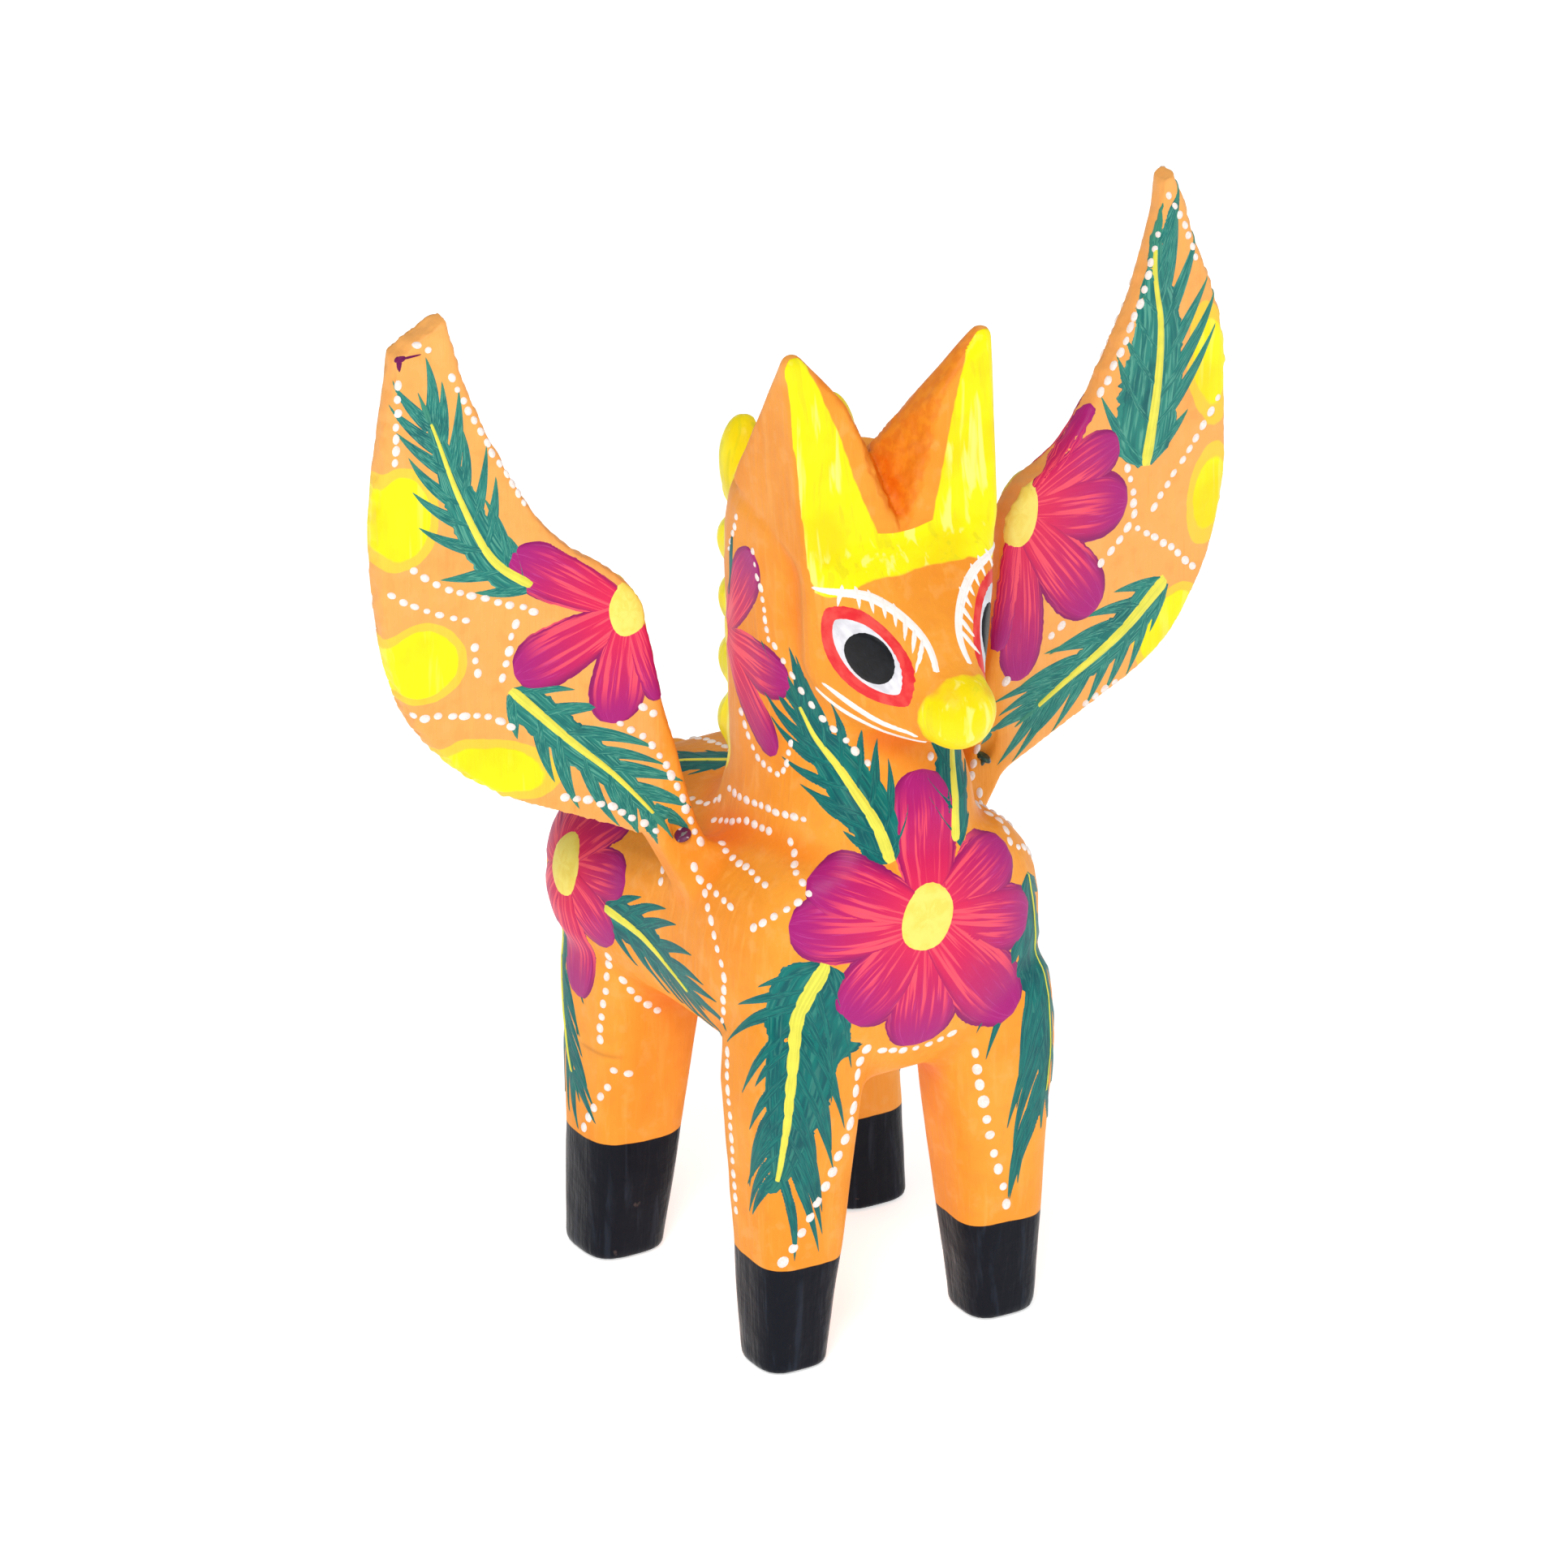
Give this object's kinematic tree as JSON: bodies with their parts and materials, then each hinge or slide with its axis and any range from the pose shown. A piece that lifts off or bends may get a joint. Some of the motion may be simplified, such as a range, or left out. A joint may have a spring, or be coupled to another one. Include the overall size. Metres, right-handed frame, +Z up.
{
  "type": "alebrije figure",
  "caption": "Standing winged, big-eared creature carved in wood and painted, on four legs, with raised wings pegged and nailed at the shoulders.",
  "frame": {"origin": "centre of the whole figure's box, wings and tail included, on the surface that it stands on", "axes": "+Z up, the figure looks along -Y, its own left side is +X"},
  "size_m": [0.208, 0.1389, 0.245],
  "materials": {
    "orange_paint": "satin",
    "yellow_paint": "satin",
    "black_paint": "satin",
    "green_paint": "satin",
    "magenta_paint": "satin",
    "white_paint": "satin",
    "red_paint": "satin",
    "dowel_wood": "matte",
    "nail_steel": "brushed"
  },
  "bodies": {
    "root": {"torso": "orange_paint", "head_and_neck": "orange_paint", "neck_dowel": "dowel_wood", "front_left_leg": "orange_paint", "front_right_leg": "orange_paint", "rear_left_leg": "orange_paint", "rear_right_leg": "orange_paint", "front_left_dowel": "dowel_wood", "front_right_dowel": "dowel_wood", "rear_left_dowel": "dowel_wood", "rear_right_dowel": "dowel_wood", "left_wing": "orange_paint", "right_wing": "orange_paint", "left_wing_nail": "nail_steel", "right_wing_nail": "nail_steel", "tail": "orange_paint"}
  },
  "joints": []
}
